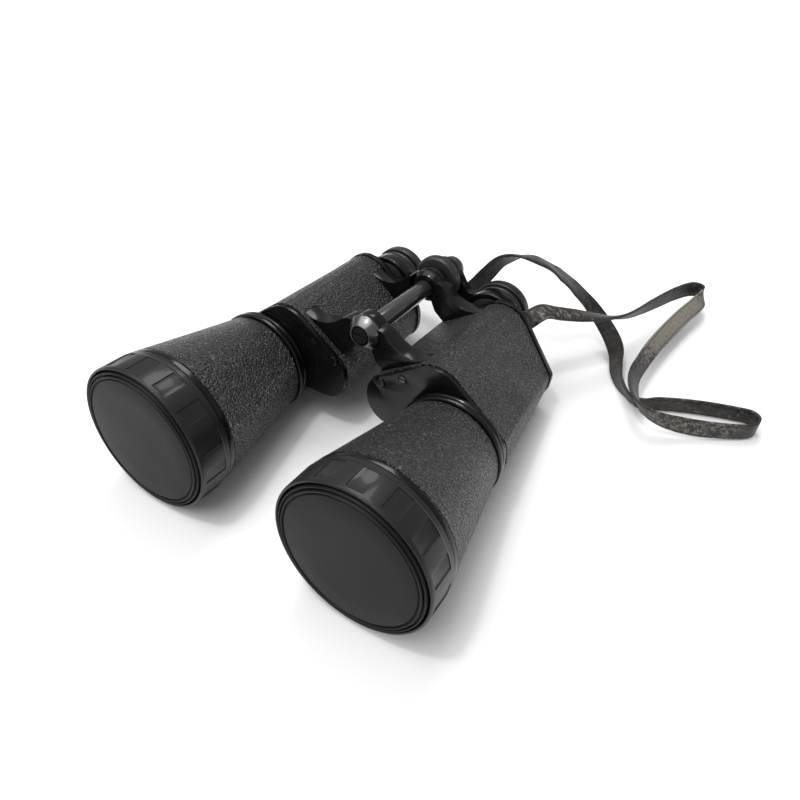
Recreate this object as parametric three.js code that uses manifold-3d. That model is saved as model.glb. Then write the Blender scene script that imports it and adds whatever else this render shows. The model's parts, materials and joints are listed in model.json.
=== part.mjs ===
// Porro-prism binoculars of the 20 x 60 class with push-in objective caps and a flat leather neck strap.
// Millimetres. Each barrel is drawn on the bench: x runs across, y along the optical axes from the face
// of the caps towards the eyes, and z up from the plane of the objective axes. The finished assembly is
// then tipped until its objective rings and rear covers stand on z = 0. "left" is the user's left (+x).

import * as THREE from 'three';
import * as BufferGeometryUtils from 'three/addons/utils/BufferGeometryUtils.js';
import Module from 'manifold-3d';

const wasm = await Module();
wasm.setup();

// ---- driving dimensions ------------------------------------------------------------------------------
const AXIS_X = 54.2; // half the spacing of the objective axes
const EYE = { x: 32, z: 19.5 }; // eyepiece axis
const HINGE_Z = 33.1; // height of the hinge axis over the objective axes
const GAP = 0.3; // clearance between neighbouring pieces
const WALL = 1.6; // wall of the cast prism housing
const SKIN = 0.9; // leatherette with its glue line

const RING = { r: 35.1, bore: 33.7, y0: 1.2, y1: 17.4, facets: 30 };
const CAP = { face: 30, rim: 33.1, deep: 10.4 };
const CONE = { y0: 20.4, r0: 33, y1: 73.2, r1: 24.1 }; // bare metal cone under its leatherette
const PLATE_Y = 80; // face of the front plate
const PLATE_THICK = 2.2;
const REAR_Y = 148.4; // face that the rear cover sits on
const HOUSING_SPANS = 2;
const COVER_THICK = 2.8;
const COVER_LIP = 0.6; // how far the rear cover stands proud of the leatherette
const SPIGOT_R = 21.6; // rear end of the cone tube, held in the front plate

const ARM_FRONT = { y0: 85, y1: 93, split: 88.4 }; // front hinge arms and the joint between their lugs
const ARM_REAR = { y0: 139.5, y1: 148, split: 144.5 };
const LUG_R = 8.6;
const AXLE_R = 2.6;
const LUG_BORE = 2.9;
const TUBE_R = 4.6; // smooth hinge tube between the lugs

const WHEEL = { r: 12.6, y0: 150.4, y1: 155.8 };
const SPINDLE_R = 2.9;
const HUB = { r: 6.2, y0: 157.2, y1: 171 };
const OCULAR = { r: 15, y0: 153.2, y1: 162.6, split: 160, lug: 9.2 };
const EYE_TUBE = { r: 12, shoulder: 152.6, bore: 10.6, spigot: 6.2, spigotBore: 5.2 };
const EYECUP = { r: 15.4, y0: 165.6, y1: 171.6 };

const STRAP = { wide: 9.5, thick: 1.6, steps: 80 };
const LUG_SLOT = { x: 49.2, z: 22, tall: 10.6, deep: 3.6, bar: 1.6, thick: 1.8 };

// ---- finishes ----------------------------------------------------------------------------------------
const finish = (color, roughness, metalness) => () =>
  new THREE.MeshStandardMaterial({ color, roughness, metalness });
const capPlastic = finish(0x232322, 0.5, 0);
const glossPaint = finish(0x151515, 0.25, 0.1);
const satinPaint = finish(0x2b2b2b, 0.38, 0.3);
const leatherette = finish(0x1d1d1c, 0.55, 0);
const opticalGlass = finish(0x9fb4bd, 0.05, 0);
const steel = finish(0x8a8a8a, 0.35, 1);
const innerBlack = finish(0x101010, 0.8, 0);
const eyecupPlastic = finish(0x1b1b1b, 0.45, 0);
const strapLeather = finish(0x2a2521, 0.6, 0);

// ---- shared shape helpers ----------------------------------------------------------------------------
const v2 = (x, y) => new THREE.Vector2(x, y);
const radians = THREE.MathUtils.degToRad;
const { lerp } = THREE.MathUtils;

function bare(geometry) {
  const copy = geometry.clone();
  copy.deleteAttribute('normal');
  copy.deleteAttribute('uv');
  return BufferGeometryUtils.mergeVertices(copy, 1e-4);
}

function volume(geometry) {
  const { position } = geometry.attributes;
  const [a, b, c] = [new THREE.Vector3(), new THREE.Vector3(), new THREE.Vector3()];
  let sum = 0;
  for (let i = 0; i < geometry.index.count; i += 3) {
    a.fromBufferAttribute(position, geometry.index.getX(i));
    b.fromBufferAttribute(position, geometry.index.getX(i + 1));
    c.fromBufferAttribute(position, geometry.index.getX(i + 2));
    sum += a.dot(b.cross(c)) / 6;
  }
  return sum;
}

// A clean closed mesh: shared vertices, no slivers of zero area at the poles, faces outwards.
function closed(geometry) {
  const mesh = bare(geometry);
  const kept = [];
  for (let i = 0; i < mesh.index.count; i += 3) {
    const [a, b, c] = [mesh.index.getX(i), mesh.index.getX(i + 1), mesh.index.getX(i + 2)];
    if (a !== b && b !== c && c !== a) kept.push(a, b, c);
  }
  mesh.setIndex(kept);
  if (volume(mesh) < 0) {
    for (let i = 0; i < kept.length; i += 3) [kept[i], kept[i + 1]] = [kept[i + 1], kept[i]];
    mesh.setIndex(kept);
  }
  return mesh;
}

function toManifold(geometry) {
  const mesh = closed(geometry);
  return new wasm.Manifold(new wasm.Mesh({
    numProp: 3,
    vertProperties: Float32Array.from(mesh.attributes.position.array),
    triVerts: Uint32Array.from(mesh.index.array),
  }));
}

function fromManifold(solid) {
  const mesh = solid.getMesh();
  const geometry = new THREE.BufferGeometry();
  geometry.setAttribute('position', new THREE.BufferAttribute(Float32Array.from(mesh.vertProperties), 3));
  geometry.setIndex([...mesh.triVerts]);
  return geometry;
}

const join = (...pieces) => fromManifold(pieces.map(toManifold).reduce((a, b) => a.add(b)));
const cut = (body, ...tools) =>
  fromManifold(tools.map(toManifold).reduce((a, b) => a.subtract(b), toManifold(body)));

// A turned piece about an axis along y through (x, z); its profile lists [radius, y].
function turned(profile, x = 0, z = 0, steps = 32) {
  const points = profile.map(([r, y]) => v2(r, y));
  if (profile[0][0] > 0) points.push(points[0].clone());
  return closed(new THREE.LatheGeometry(points, steps).translate(x, 0, z));
}

const rod = (r, y0, y1, x = 0, z = 0, steps = 20) =>
  turned([[0, y0], [r, y0], [r, y1], [0, y1]], x, z, steps);
const ring = (inner, outer, y0, y1, x = 0, z = 0, steps = 24) =>
  turned([[inner, y0], [outer, y0], [outer, y1], [inner, y1]], x, z, steps);

// A flat piece: an outline in x and z carried from y0 to y1.
function slab(outline, y0, y1) {
  const shape = new THREE.Shape(outline);
  const geometry = new THREE.ExtrudeGeometry(shape, { depth: y1 - y0, bevelEnabled: false });
  return closed(geometry.rotateX(Math.PI / 2).translate(0, y1, 0));
}

function block(x0, x1, y0, y1, z0, z1) {
  const geometry = new THREE.BoxGeometry(x1 - x0, y1 - y0, z1 - z0);
  return closed(geometry.translate((x0 + x1) / 2, (y0 + y1) / 2, (z0 + z1) / 2));
}

// A solid through outlines with the same number of points; each section is { outline, y }.
function loft(sections) {
  const n = sections[0].outline.length;
  const last = (sections.length - 1) * n;
  const position = sections.flatMap(({ outline, y }) => outline.flatMap((p) => [p.x, y, p.y]));
  const index = [];
  for (let at = 0; at < last; at += n) {
    for (let i = 0; i < n; i++) {
      const j = (i + 1) % n;
      index.push(at + i, at + n + i, at + j, at + j, at + n + i, at + n + j);
    }
  }
  const near = THREE.ShapeUtils.triangulateShape(sections[0].outline, []);
  const far = THREE.ShapeUtils.triangulateShape(sections.at(-1).outline, []);
  for (const [a, b, c] of near) index.push(a, b, c);
  for (const [a, b, c] of far) index.push(last + a, last + c, last + b);
  const geometry = new THREE.BufferGeometry();
  geometry.setAttribute('position', new THREE.Float32BufferAttribute(position, 3));
  geometry.setIndex(index);
  return closed(geometry);
}

const arc = (cx, cz, r, from, to, steps) => Array.from({ length: steps + 1 }, (_, i) => {
  const angle = radians(lerp(from, to, i / steps));
  return v2(cx + r * Math.cos(angle), cz + r * Math.sin(angle));
});

// Rounds the corner between two straight runs.
function fillet(before, corner, after, radius, steps) {
  const a = before.clone().sub(corner).normalize();
  const b = after.clone().sub(corner).normalize();
  const half = Math.acos(a.dot(b)) / 2;
  const centre = corner.clone().addScaledVector(a.clone().add(b).normalize(), radius / Math.sin(half));
  const start = corner.clone().addScaledVector(a, radius / Math.tan(half)).sub(centre);
  const sweep = (Math.PI - 2 * half) * Math.sign(b.cross(a));
  const turn = (i) => start.clone().rotateAround(v2(0, 0), sweep * (i / steps)).add(centre);
  return Array.from({ length: steps + 1 }, (_, i) => turn(i));
}

// Moves an outline drawn anticlockwise inwards by depth, or outwards when depth is negative.
function inset(outline, depth) {
  return outline.map((p, i) => {
    const n = outline.length;
    const back = p.clone().sub(outline[(i + n - 1) % n]).normalize();
    const ahead = outline[(i + 1) % n].clone().sub(p).normalize();
    const normal = v2(-back.y - ahead.y, back.x + ahead.x).normalize();
    const mitre = Math.max(0.5, normal.dot(v2(-back.y, back.x)));
    return p.clone().addScaledVector(normal, depth / mitre);
  });
}

// ---- the prism housing's outline ---------------------------------------------------------------------
// Over the leatherette, anticlockwise seen with +x to the right: a round bottom about the objective axis,
// the brow, the sloping crest, the round inner lobe and its flat underside. It narrows towards the rear.
function housingSection(k) {
  const belly = lerp(25.2, 17.8, k);
  const underside = lerp(-8.4, -7, k);
  const foot = -180 + THREE.MathUtils.radToDeg(Math.asin(-underside / belly));
  const browAngle = lerp(24.4, 12, k);
  const brow = v2(AXIS_X + belly * Math.cos(radians(browAngle)), belly * Math.sin(radians(browAngle)));
  const below = brow.clone().add(v2(Math.sin(radians(browAngle)), -Math.cos(radians(browAngle))));
  const crest = v2(lerp(42.3, 45.1, k), lerp(38, 39.6, k));
  const lobeTop = v2(lerp(6, 8, k), lerp(13.6, 14.4, k));
  const lobeLow = v2(lobeTop.x, underside);
  const heel = v2(AXIS_X - belly, underside);
  return [
    ...arc(AXIS_X, 0, belly, foot, browAngle - 10, 10),
    ...fillet(below, brow, crest, 4, 2),
    ...fillet(brow, crest, lobeTop, lerp(16, 14, k), 5),
    ...fillet(crest, lobeTop, lobeLow, lerp(13, 12, k), 5),
    ...fillet(lobeTop, lobeLow, heel, lerp(13, 11, k), 5),
  ];
}

const FRONT_SECTION = housingSection(0);
const REAR_SECTION = housingSection(1);

// The outline at any y, on the straight lines that join the front section to the rear one.
function housingOutline(y) {
  const k = (y - PLATE_Y) / (REAR_Y - PLATE_Y);
  return FRONT_SECTION.map((p, i) => p.clone().lerp(REAR_SECTION[i], k));
}

function housingBody(y0, y1, depth) {
  const sections = Array.from({ length: HOUSING_SPANS + 1 }, (_, i) => {
    const y = lerp(y0, y1, i / HOUSING_SPANS);
    return { outline: inset(housingOutline(y), depth), y };
  });
  return loft(sections);
}

// ---- hinge arms --------------------------------------------------------------------------------------
// Each arm is a web between its lug and the housing, with a hollow, scooped top.
const scoop = (points) => new THREE.CatmullRomCurve3(points.map(([x, z]) => new THREE.Vector3(x, z, 0)))
  .getPoints(8).map((p) => v2(p.x, p.y));

const frontArmOutline = [
  ...scoop([[7.2, 38], [11.2, 37.3], [15, 34], [21, 30.7], [28.2, 29.8], [33.6, 31.8]]),
  v2(39, 31), v2(31, 20), v2(20, 16), v2(12, 16.5), v2(7, 21), v2(4, 28),
].reverse();
const rearArmOutline = [
  ...scoop([[7, 38.2], [10.2, 36.8], [13.8, 32.9], [17.4, 30.2], [22.6, 28.8], [28, 29], [33.2, 31]]),
  v2(38, 30), v2(30, 19), v2(20, 16), v2(12, 18), v2(7, 22), v2(4, 28),
].reverse();

const LUG_PROFILES = {
  front: {
    right: [
      [4.5, 82.2], [5, 82.2], [LUG_R, 86], [LUG_R, 88.2], [LUG_BORE, 88.2], [LUG_BORE, 83.9], [4.5, 83.9],
    ],
    left: [[LUG_BORE, 88.6], [8.4, 88.6], [8.4, 93.6], [7, 94.2], [LUG_BORE, 94.2]],
  },
  rear: {
    left: [[LUG_BORE, 140], [6.9, 140], [LUG_R, 142.4], [LUG_R, 144.3], [LUG_BORE, 144.3]],
    right: [[LUG_BORE, 144.7], [8.8, 144.7], [8.8, 149.2], [LUG_BORE, 149.2]],
  },
};

// An arm with its lug. Near the hinge it keeps only its own lug's half of its thickness, and at the
// other end it is fitted to the metal of the housing.
function hingeArm(outline, span, lugProfile, keepsFront) {
  const [cut0, cut1] = keepsFront ? [span.split - GAP / 2, span.y1 + 1] : [span.y0 - 1, span.split + GAP / 2];
  const relief = rod(LUG_R + 2 * GAP, cut0, cut1, 0, HINGE_Z, 28);
  const web = cut(slab(outline, span.y0, span.y1), relief);
  const bore = rod(LUG_BORE, span.y0 - 1.1, span.y1 + 3, 0, HINGE_Z, 28);
  const seat = housingBody(PLATE_Y, REAR_Y + 1, SKIN - GAP);
  return cut(join(web, turned(lugProfile, 0, HINGE_Z, 28)), bore, seat);
}

const frontHingeArm = (side) =>
  hingeArm(frontArmOutline, ARM_FRONT, LUG_PROFILES.front[side], side === 'right');
const rearHingeArm = (side) =>
  hingeArm(rearArmOutline, ARM_REAR, LUG_PROFILES.rear[side], side === 'left');

const housing = () => cut(
  housingBody(PLATE_Y + PLATE_THICK + GAP, REAR_Y, SKIN),
  housingBody(PLATE_Y, REAR_Y + 1, SKIN + WALL),
);

function housingLeather() {
  const [y0, y1] = [PLATE_Y + PLATE_THICK + GAP, REAR_Y - GAP];
  const around = (outline, span) => slab(inset(outline, -GAP), span.y0 - GAP, span.y1 + GAP);
  return cut(
    housingBody(y0, y1, 0),
    housingBody(y0 - 1, y1 + 1, SKIN - 0.25),
    around(frontArmOutline, ARM_FRONT),
    around(rearArmOutline, ARM_REAR),
  );
}

// ---- plates, prisms and screws -----------------------------------------------------------------------
const PLATE_SCREW = { x: 25.2, z: 21.3, r: 1.9 };
const PLATE_PLUG = { x: 13.6, z: 14.6, r: 2.5, proud: 0.5 };

function frontPlate() {
  const plate = slab(inset(housingOutline(PLATE_Y), 0.5), PLATE_Y, PLATE_Y + PLATE_THICK);
  const holes = [PLATE_SCREW, PLATE_PLUG].map(({ x, z, r }) =>
    rod(r + GAP, PLATE_Y - 1, PLATE_Y + 4, x, z, 18));
  return cut(plate, rod(SPIGOT_R + GAP, PLATE_Y - 1, PLATE_Y + 4, AXIS_X, 0, 32), ...holes);
}

function plateScrew() {
  const { x, z, r } = PLATE_SCREW;
  const top = PLATE_Y - 0.2;
  const screw = turned([[0, top], [r, top], [r - 0.8, top + 1.6], [r - 0.8, 87], [0, 87]], x, z, 14);
  return cut(screw, block(x - r - 0.2, x + r + 0.2, top - 1, top + 0.6, z - 0.3, z + 0.3));
}

// The low round plug that closes the prism's setting hole.
function platePlug() {
  const { x, z, r, proud } = PLATE_PLUG;
  const face = PLATE_Y - proud;
  return turned([[0, face], [r - 0.4, face], [r, face + 0.3], [r, PLATE_Y + 2], [0, PLATE_Y + 2]], x, z, 18);
}

function rearCover() {
  const outline = inset(housingOutline(REAR_Y + GAP), -COVER_LIP);
  const plate = slab(outline, REAR_Y + GAP, REAR_Y + GAP + COVER_THICK);
  return cut(plate, rod(EYE_TUBE.spigot + GAP, REAR_Y - 1, REAR_Y + 9, EYE.x, EYE.z, 24));
}

const SHELF = { y0: 114, y1: 116 };
const BEAM = { x: 33, z: 2.4, half: 6.2 }; // where the light turns from one prism to the other

function prismShelf() {
  const plate = slab(inset(housingOutline(SHELF.y1), SKIN + WALL + 3 * GAP), SHELF.y0, SHELF.y1);
  const windows = [[AXIS_X, BEAM.z], [BEAM.x, BEAM.z], [BEAM.x, EYE.z - 3]];
  return cut(plate, ...windows.map(([x, z]) => rod(4.6, SHELF.y0 - 1, SHELF.y1 + 1, x, z, 16)));
}

// Right-angle prisms: the front one lifts the beam, the rear one carries it inwards.
function frontPrism() {
  const [low, high, y] = [-3.4, 22.4, SHELF.y0 - GAP];
  const mid = (low + high) / 2;
  const triangle = new THREE.Shape([v2(low, y), v2(high, y), v2(mid, y - (high - low) / 2)]);
  const geometry = new THREE.ExtrudeGeometry(triangle, { depth: 2 * BEAM.half, bevelEnabled: false });
  // Shape x becomes z and shape y stays y, so the extrusion runs along x.
  return closed(geometry.rotateY(-Math.PI / 2).translate(BEAM.x + BEAM.half, 0, 0));
}

function rearPrism() {
  const [near, far, y] = [23.4, 64.6, SHELF.y1 + GAP];
  const mid = (near + far) / 2;
  const triangle = new THREE.Shape([v2(near, y), v2(far, y), v2(mid, y + (far - near) / 2)]);
  const geometry = new THREE.ExtrudeGeometry(triangle, { depth: 2 * BEAM.half, bevelEnabled: false });
  return closed(geometry.translate(0, 0, BEAM.z - BEAM.half));
}

// An upright loop on the rear cover; the strap passes through its slot.
function strapLug() {
  const { x, z, tall, deep, bar, thick } = LUG_SLOT;
  const y0 = REAR_Y + COVER_THICK + 2 * GAP;
  const base = 1.2;
  const [low, high] = [z - tall / 2, z + tall / 2];
  const outer = block(x - thick / 2, x + thick / 2, y0, y0 + base + deep + bar, low - bar, high + bar);
  const slot = block(x - thick, x + thick, y0 + base, y0 + base + deep, low, high);
  return cut(outer, slot);
}

// ---- objective end -----------------------------------------------------------------------------------
const objectiveCap = () => turned([
  [0, 0], [CAP.face, 0], [CAP.face + 0.5, 1.6], [32.5, 1.2], [CAP.rim, 2], [CAP.rim - 0.3, CAP.deep],
  [31.2, CAP.deep], [31.2, 3.4], [0, 3.4],
], AXIS_X, 0, 32);

// Turned with one step to a facet, so that the grip facets are flat.
const objectiveRing = () => turned([
  [RING.bore, RING.y0 + 0.2], [RING.r - 0.6, RING.y0], [RING.r, RING.y0 + 0.9], [RING.r, 14.2],
  [RING.r - 0.5, 14.6], [RING.r - 0.5, RING.y1], [RING.bore, RING.y1],
], AXIS_X, 0, RING.facets);

const retainingRing = () => ring(28.6, 31, 12, 14.6, AXIS_X, 0, 28);

const objectiveLens = () => turned([
  [0, 14.9], [15, 15.5], [30.4, 17.8], [30.4, 20], [15, 21.6], [0, 22.1],
], AXIS_X, 0, 24);

const barrelTube = () => turned([
  [31.3, 11], [32.9, 11], [32.9, 17.8], [34.3, 17.8], [34.3, 20.3], [CONE.r0, CONE.y0], [CONE.r1, CONE.y1],
  [SPIGOT_R, CONE.y1 + 0.2], [SPIGOT_R, 82.1], [20, 82.1], [20, 72.6], [31.3, 23],
], AXIS_X, 0, 28);

const barrelLeather = () => turned([
  [CONE.r0 + 0.15, CONE.y0 + 0.5], [CONE.r0 + 1, CONE.y0 + 0.5], [CONE.r1 + 1, CONE.y1 - 0.2],
  [CONE.r1 + 0.3, CONE.y1 - 0.2],
], AXIS_X, 0, 32);

const barrelCollar = () => turned([
  [SPIGOT_R + GAP, 74], [25.4, 74], [25.9, 74.8], [25.9, 76.4], [25.2, 77], [25.2, 79.6],
  [SPIGOT_R + GAP, 79.6],
], AXIS_X, 0, 32);

// ---- eyepiece end ------------------------------------------------------------------------------------
const ocularArmOutline = [
  ...scoop([[5.5, 40], [9.6, 37], [13, 31.8], [17, 28.6], [22, 29]]),
  v2(27, 24), v2(24, 12), v2(15, 15), v2(8, 22), v2(4, 27),
].reverse();

function ocularArm(side) {
  const { r, y0, y1, split, lug } = OCULAR;
  const webY0 = HUB.y0 + GAP;
  const [lug0, lug1] = side === 'left' ? [webY0, split - GAP / 2] : [split + GAP / 2, y1];
  const [cut0, cut1] = side === 'left' ? [split - GAP / 2, y1 + 1] : [webY0 - 1, split + GAP / 2];
  const sleeve = turned([
    [EYE_TUBE.r + GAP, y0], [r - 0.4, y0], [r, y0 + 0.6], [r, 157.4], [r - 0.6, y1], [EYE_TUBE.r + GAP, y1],
  ], EYE.x, EYE.z, 28);
  const web = cut(slab(ocularArmOutline, webY0, y1), rod(lug + GAP, cut0, cut1, 0, HINGE_Z, 24));
  const hole = rod(EYE_TUBE.r + GAP, y0 - 1, y1 + 1, EYE.x, EYE.z, 28);
  const eye = rod(HUB.r + GAP, webY0 - 1, y1 + 1, 0, HINGE_Z, 24);
  return cut(join(sleeve, web, rod(lug, lug0, lug1, 0, HINGE_Z, 24)), hole, eye);
}

const eyepieceTube = () => turned([
  [EYE_TUBE.spigotBore, 143], [EYE_TUBE.spigot, 143], [EYE_TUBE.spigot, EYE_TUBE.shoulder],
  [EYE_TUBE.r, EYE_TUBE.shoulder], [EYE_TUBE.r, 167.4], [EYE_TUBE.bore, 167.4], [EYE_TUBE.bore, 158],
  [EYE_TUBE.spigotBore, 156],
], EYE.x, EYE.z, 28);
const eyepieceCollar = () => ring(EYE_TUBE.r + GAP, 14.3, 163, 164.9, EYE.x, EYE.z, 28);
const fieldLens = () => turned([[0, 144.4], [4.9, 145], [4.9, 146.2], [0, 147]], EYE.x, EYE.z, 16);
const eyeLens = () => turned([[0, 162.4], [10.3, 163.2], [10.3, 165], [0, 166.2]], EYE.x, EYE.z, 18);

const eyecup = () => turned([
  [EYE_TUBE.r + GAP, EYECUP.y0], [EYECUP.r - 0.4, EYECUP.y0], [EYECUP.r, 166.4], [EYECUP.r, 170.6],
  [EYECUP.r - 0.8, EYECUP.y1], [11.5, EYECUP.y1], [9, 169], [9, 167.9], [EYE_TUBE.r + GAP, 167.9],
], EYE.x, EYE.z, 24);

// ---- hinge and focusing ------------------------------------------------------------------------------
const hingeAxle = () => rod(AXLE_R, 84.2, 149.2, 0, HINGE_Z);
const hingeTube = () => ring(LUG_BORE, TUBE_R, 94.5, 139.7, 0, HINGE_Z);
const hingeWasher = () => ring(SPINDLE_R + GAP, 7.6, 149.5, 150.1, 0, HINGE_Z, 24);

function hingeCapScrew() {
  const head = rod(4.1, 82, 83.6, 0, HINGE_Z, 24);
  return cut(head, block(-4.5, 4.5, 81, 82.7, HINGE_Z - 0.5, HINGE_Z + 0.5));
}

const focusWheel = () => turned([
  [SPINDLE_R + GAP, WHEEL.y0], [WHEEL.r - 1, WHEEL.y0], [WHEEL.r, WHEEL.y0 + 1], [WHEEL.r, WHEEL.y1 - 0.8],
  [WHEEL.r - 0.6, WHEEL.y1], [SPINDLE_R + GAP, WHEEL.y1],
], 0, HINGE_Z, 36);

const focusSpindle = () => rod(SPINDLE_R, 149.6, 166, 0, HINGE_Z);

const bridgeHub = () => turned([
  [0, 168.4], [SPINDLE_R + 0.4, 168.4], [SPINDLE_R + 0.4, HUB.y0], [HUB.r, HUB.y0], [HUB.r, 163],
  [HUB.r + 0.4, 163.2], [HUB.r + 0.4, 170.2], [HUB.r - 0.4, HUB.y1], [0, HUB.y1],
], 0, HINGE_Z, 20);

// ---- neck strap --------------------------------------------------------------------------------------
// Its route at rest: x, y, z of the middle of the strap and its lean in degrees, which is 0 or 180 where
// the strap stands on edge. It leaves the right lug, rounds the eyepieces, arches over, lies in a long
// loop on its edge, comes back past a tight turn and rises to the left lug.
const STRAP_ROUTE = [
  [-47.6, 70.7, 39.9, 0], [-51.6, 70.8, 39.6, 0], [-57, 74, 37.4, 0], [-61, 81, 33, 0],
  [-61, 90, 27.5, 0], [-54, 98, 22.5, 0], [-40, 102, 18, 0], [-18, 101, 17, 0], [-1, 97, 23, 0],
  [10, 96, 35, 20], [17, 96, 46, 28], [24, 96.5, 56, 41], [34, 96.5, 62.5, 58], [44, 100, 61, 84],
  [52.5, 111, 50, 112], [60, 121, 37.5, 122], [68.5, 127, 26, 118], [77, 127.5, 17.5, 112],
  [85, 124, 11.5, 114], [91, 117, 8, 135], [95, 106.5, 6, 148], [100, 97.5, 5.3, 178],
  [105.5, 91.5, 5.2, 200], [110.5, 87.5, 5.2, 208], [115.5, 87, 5.2, 195], [122, 91, 5.2, 182],
  [133, 96.5, 5.2, 180], [145.5, 101.5, 5.2, 180], [158.5, 105.5, 5.2, 180], [166, 107, 5.2, 180],
  [169.5, 105, 5.2, 180], [170, 101.5, 5.2, 180], [168, 97, 5.2, 180], [158, 90.5, 5.3, 187],
  [146, 84, 6.2, 194], [136.5, 79.5, 7.8, 188], [129, 76, 10, 174], [122, 74, 12.6, 156],
  [116.5, 74.5, 14.6, 151], [112.5, 78.5, 15.4, 143], [109, 86, 15.4, 140], [107, 95.5, 14.6, 139],
  [107, 109, 13.2, 138], [108, 126.5, 11.8, 127], [111, 149, 10.8, 113], [114.5, 168, 10.6, 110],
  [118.5, 184, 11, 122], [119.5, 191.5, 11.5, 152], [117.5, 196, 12.8, 174], [112.5, 194, 14, 190],
  [105, 181, 15.5, 184], [100, 166.5, 17.5, 179], [95.5, 151.5, 20, 169], [91, 135.5, 23.5, 152],
  [86, 121.5, 28, 128], [79, 110, 32.5, 102], [71, 99, 37, 84], [62.5, 89.5, 41, 77],
  [57.5, 81.5, 44.3, 70], [56.8, 74.4, 42, 24], [52.4, 70.9, 40, 0], [47.6, 70.7, 39.9, 0],
];

// The flat strap's section turns with the lean given along the route.
class StrapRoute extends THREE.CatmullRomCurve3 {
  constructor(route) {
    super(route.map(([x, y, z]) => new THREE.Vector3(x, y, z)), false, 'centripetal');
    this.leans = route.map((row) => row[3]);
  }

  leanAt(u) {
    const t = this.getUtoTmapping(u) * (this.leans.length - 1);
    const i = Math.min(Math.floor(t), this.leans.length - 2);
    return radians(lerp(this.leans[i], this.leans[i + 1], t - i));
  }

  computeFrenetFrames(segments) {
    const up = new THREE.Vector3(0, 0, 1);
    const frames = { tangents: [], normals: [], binormals: [] };
    for (let i = 0; i <= segments; i++) {
      const tangent = this.getTangentAt(i / segments);
      const side = tangent.clone().cross(up).normalize();
      const upright = side.clone().cross(tangent);
      const lean = this.leanAt(i / segments);
      const across = upright.multiplyScalar(Math.cos(lean)).addScaledVector(side, Math.sin(lean));
      frames.tangents.push(tangent);
      frames.normals.push(across);
      frames.binormals.push(tangent.clone().cross(across));
    }
    return frames;
  }
}

function strap() {
  const [w, t, c] = [STRAP.wide / 2, STRAP.thick / 2, 0.4];
  const section = new THREE.Shape([
    v2(-w, -t + c), v2(-w + c, -t), v2(w - c, -t), v2(w, -t + c),
    v2(w, t - c), v2(w - c, t), v2(-w + c, t), v2(-w, t - c),
  ]);
  const extrudePath = new StrapRoute(STRAP_ROUTE);
  return closed(new THREE.ExtrudeGeometry(section, { steps: STRAP.steps, extrudePath }));
}

// ---- assembly ----------------------------------------------------------------------------------------
const bench = new THREE.Group();

function place(name, geometry, makeMaterial, mirrored = false) {
  const shape = mirrored ? closed(geometry.clone().scale(-1, 1, 1)) : closed(geometry);
  shape.computeVertexNormals();
  const mesh = new THREE.Mesh(shape, makeMaterial());
  mesh.name = name;
  bench.add(mesh);
}

for (const side of ['left', 'right']) {
  const mirrored = side === 'right';
  const put = (piece, geometry, material) => place(`${side}_${piece}`, geometry, material, mirrored);
  put('objective_cap', objectiveCap(), capPlastic);
  put('objective_ring', objectiveRing(), glossPaint);
  put('lens_retaining_ring', retainingRing(), innerBlack);
  put('objective_lens', objectiveLens(), opticalGlass);
  put('barrel_tube', barrelTube(), glossPaint);
  put('barrel_leather', barrelLeather(), leatherette);
  put('barrel_collar', barrelCollar(), glossPaint);
  put('front_plate', frontPlate(), glossPaint);
  put('plate_screw', plateScrew(), steel);
  put('plate_plug', platePlug(), glossPaint);
  put('housing', housing(), glossPaint);
  put('front_hinge_arm', frontHingeArm(side), glossPaint);
  put('rear_hinge_arm', rearHingeArm(side), glossPaint);
  put('housing_leather', housingLeather(), leatherette);
  put('prism_shelf', prismShelf(), innerBlack);
  put('front_prism', frontPrism(), opticalGlass);
  put('rear_prism', rearPrism(), opticalGlass);
  put('rear_cover', rearCover(), glossPaint);
  put('strap_lug', strapLug(), glossPaint);
  put('ocular_arm', ocularArm(side), satinPaint);
  put('eyepiece_tube', eyepieceTube(), satinPaint);
  put(side === 'right' ? 'dioptre_ring' : 'eyepiece_collar', eyepieceCollar(), satinPaint);
  put('field_lens', fieldLens(), opticalGlass);
  put('eye_lens', eyeLens(), opticalGlass);
  put('eyecup', eyecup(), eyecupPlastic);
}
place('hinge_axle', hingeAxle(), steel);
place('hinge_tube', hingeTube(), satinPaint);
place('hinge_cap_screw', hingeCapScrew(), steel);
place('hinge_washer', hingeWasher(), steel);
place('focus_wheel', focusWheel(), satinPaint);
place('focus_spindle', focusSpindle(), steel);
place('bridge_hub', bridgeHub(), satinPaint);

// The rings' rear edges and the rear covers share the surface that the binoculars stand on.
const coverBelly = 17.8 + COVER_LIP;
const coverY = REAR_Y + GAP + COVER_THICK;
bench.rotation.x = -Math.atan2(RING.r - coverBelly, coverY - 14.2);
bench.updateMatrixWorld(true);
const extent = new THREE.Box3().setFromObject(bench, true);
bench.position.set(0, -(extent.min.y + extent.max.y) / 2, -extent.min.z);

const binoculars = new THREE.Group();
binoculars.name = 'binoculars';
binoculars.add(bench);
const strapMesh = new THREE.Mesh(strap(), strapLeather());
strapMesh.name = 'strap';
binoculars.add(strapMesh);

export default binoculars;
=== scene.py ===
"""Porro-prism binoculars with push-in caps and a leather strap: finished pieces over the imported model.

Turned pieces are drawn on the bench in millimetres, as the solids are: x across, y along the optical axes
from the caps' faces, z up from the objective axes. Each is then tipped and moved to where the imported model
rests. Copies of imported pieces, and the strap, are in place from the start. "left" is the user's left, at +x.
"""

import json
import math

import bpy
from bpy.props import FloatProperty, FloatVectorProperty, IntProperty, PointerProperty
from mathutils import Matrix, Vector


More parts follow.
